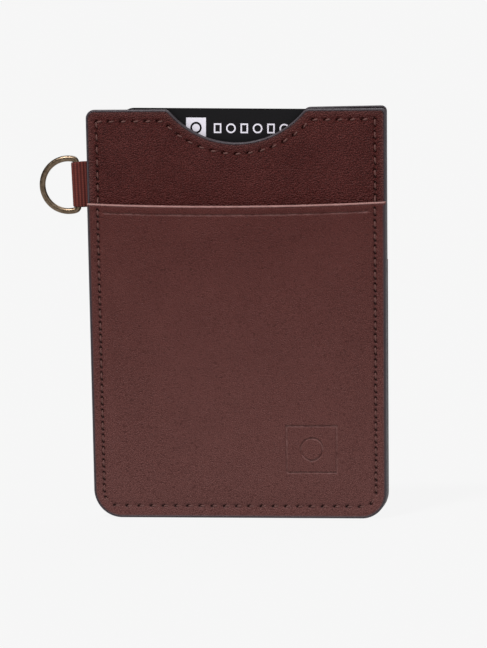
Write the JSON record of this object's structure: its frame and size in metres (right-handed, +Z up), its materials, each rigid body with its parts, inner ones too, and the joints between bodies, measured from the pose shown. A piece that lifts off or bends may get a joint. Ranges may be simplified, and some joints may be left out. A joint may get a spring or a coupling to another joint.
{
  "type": "minimalist wallet",
  "caption": "Slim vertical leather card wallet with a thumb notch, outer pockets and a swinging lanyard D-ring in a webbing loop.",
  "frame": {"origin": "middle of the wallet's bottom edge, on the plane halfway through the seam", "axes": "+Z up the wallet's height to the thumb notch, +X to the right seen from the front, so the D-ring is on -X, +Y from the front pocket to the back"},
  "size_m": [0.0815, 0.006, 0.0955],
  "materials": {
    "pebbled_leather": "fine pebble grain, dark reddish brown, with dark grey-brown painted edges",
    "smooth_leather": "smooth, semi-matt, reddish brown, with dark grey-brown painted edges",
    "stiffener": "non-woven",
    "lining": "thin dark brown twill",
    "welt_leather": "split leather with painted edges",
    "webbing": "ribbed grosgrain, reddish brown",
    "antique_brass": "antique, brown patina",
    "card_plastic": "matt black with a plain white print",
    "thread": "twisted polyester, brown"
  },
  "bodies": {
    "wallet": {"front_panel": "pebbled_leather", "front_stiffener": "stiffener", "front_lining": "lining", "front_pocket": "smooth_leather", "front_pocket_lining": "lining", "back_panel": "pebbled_leather", "back_stiffener": "stiffener", "back_lining": "lining", "back_pocket": "smooth_leather", "back_pocket_lining": "lining", "welt_bottom": "welt_leather", "welt_right": "welt_leather", "welt_left_lower": "welt_leather", "welt_left_upper": "welt_leather", "webbing_loop": "webbing", "seam_needle_thread": "thread", "seam_bobbin_thread": "thread", "front_top_thread": "thread", "back_top_thread": "thread"},
    "ring": {"d_ring": "antique_brass"},
    "card": {"card": "card_plastic"}
  },
  "joints": [
    {"name": "ring_swing", "type": "hinge", "parent": "wallet", "child": "ring", "pos_m": [-0.03755, 0, 0.0779], "axis": [-0.0349, 0, 0.9994], "range_deg": [-100, 100]},
    {"name": "card_slide", "type": "slide", "parent": "wallet", "child": "card", "axis": [0, 0, 1], "range_m": [-0.0054, 0.087]}
  ]
}
